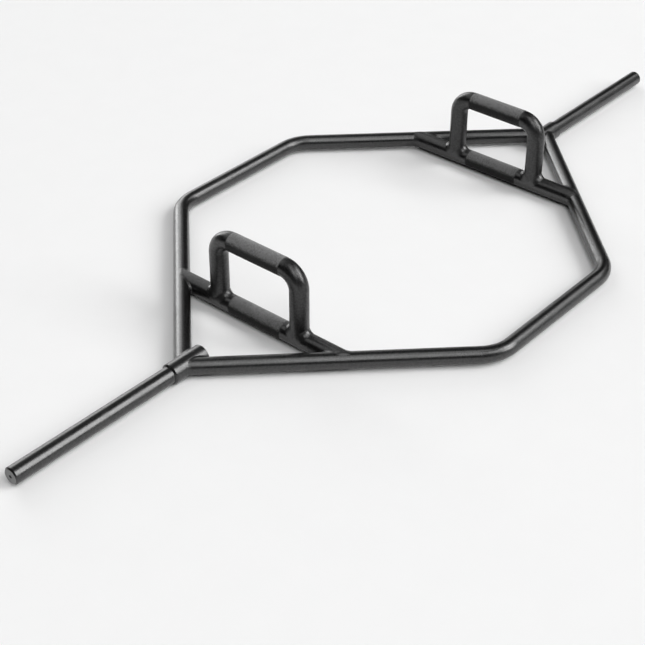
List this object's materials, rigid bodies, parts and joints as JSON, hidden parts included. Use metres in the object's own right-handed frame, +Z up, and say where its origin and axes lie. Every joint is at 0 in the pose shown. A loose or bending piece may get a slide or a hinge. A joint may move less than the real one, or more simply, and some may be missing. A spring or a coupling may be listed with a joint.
{
  "type": "hex trap bar",
  "caption": "Welded hexagonal tube bar to stand inside and lift, with low and raised knurled handles on each side and a solid plate sleeve at each end.",
  "frame": {"origin": "on the floor, under the middle of the hexagon", "axes": "+X along the sleeves to the right-hand end, +Y to the rear of the hexagon, +Z up"},
  "size_m": [1.5, 0.653, 0.138],
  "materials": {
    "frame_coat": "satin black coat",
    "sleeve_coat": "satin black coat",
    "handle_coat": "satin black coat, matt on the knurl",
    "weld_coat": "gloss black coat over the weld"
  },
  "bodies": {
    "root": {"front_half_frame": "frame_coat", "rear_half_frame": "frame_coat", "left_collar": "frame_coat", "left_sleeve": "sleeve_coat", "left_sleeve_weld": "weld_coat", "left_low_handle": "handle_coat", "left_raised_handle": "handle_coat", "left_collar_front_weld": "weld_coat", "left_low_handle_front_weld": "weld_coat", "left_raised_handle_front_weld": "weld_coat", "left_collar_rear_weld": "weld_coat", "left_low_handle_rear_weld": "weld_coat", "left_raised_handle_rear_weld": "weld_coat", "right_collar": "frame_coat", "right_sleeve": "sleeve_coat", "right_sleeve_weld": "weld_coat", "right_low_handle": "handle_coat", "right_raised_handle": "handle_coat", "right_collar_front_weld": "weld_coat", "right_low_handle_front_weld": "weld_coat", "right_raised_handle_front_weld": "weld_coat", "right_collar_rear_weld": "weld_coat", "right_low_handle_rear_weld": "weld_coat", "right_raised_handle_rear_weld": "weld_coat"}
  },
  "joints": []
}
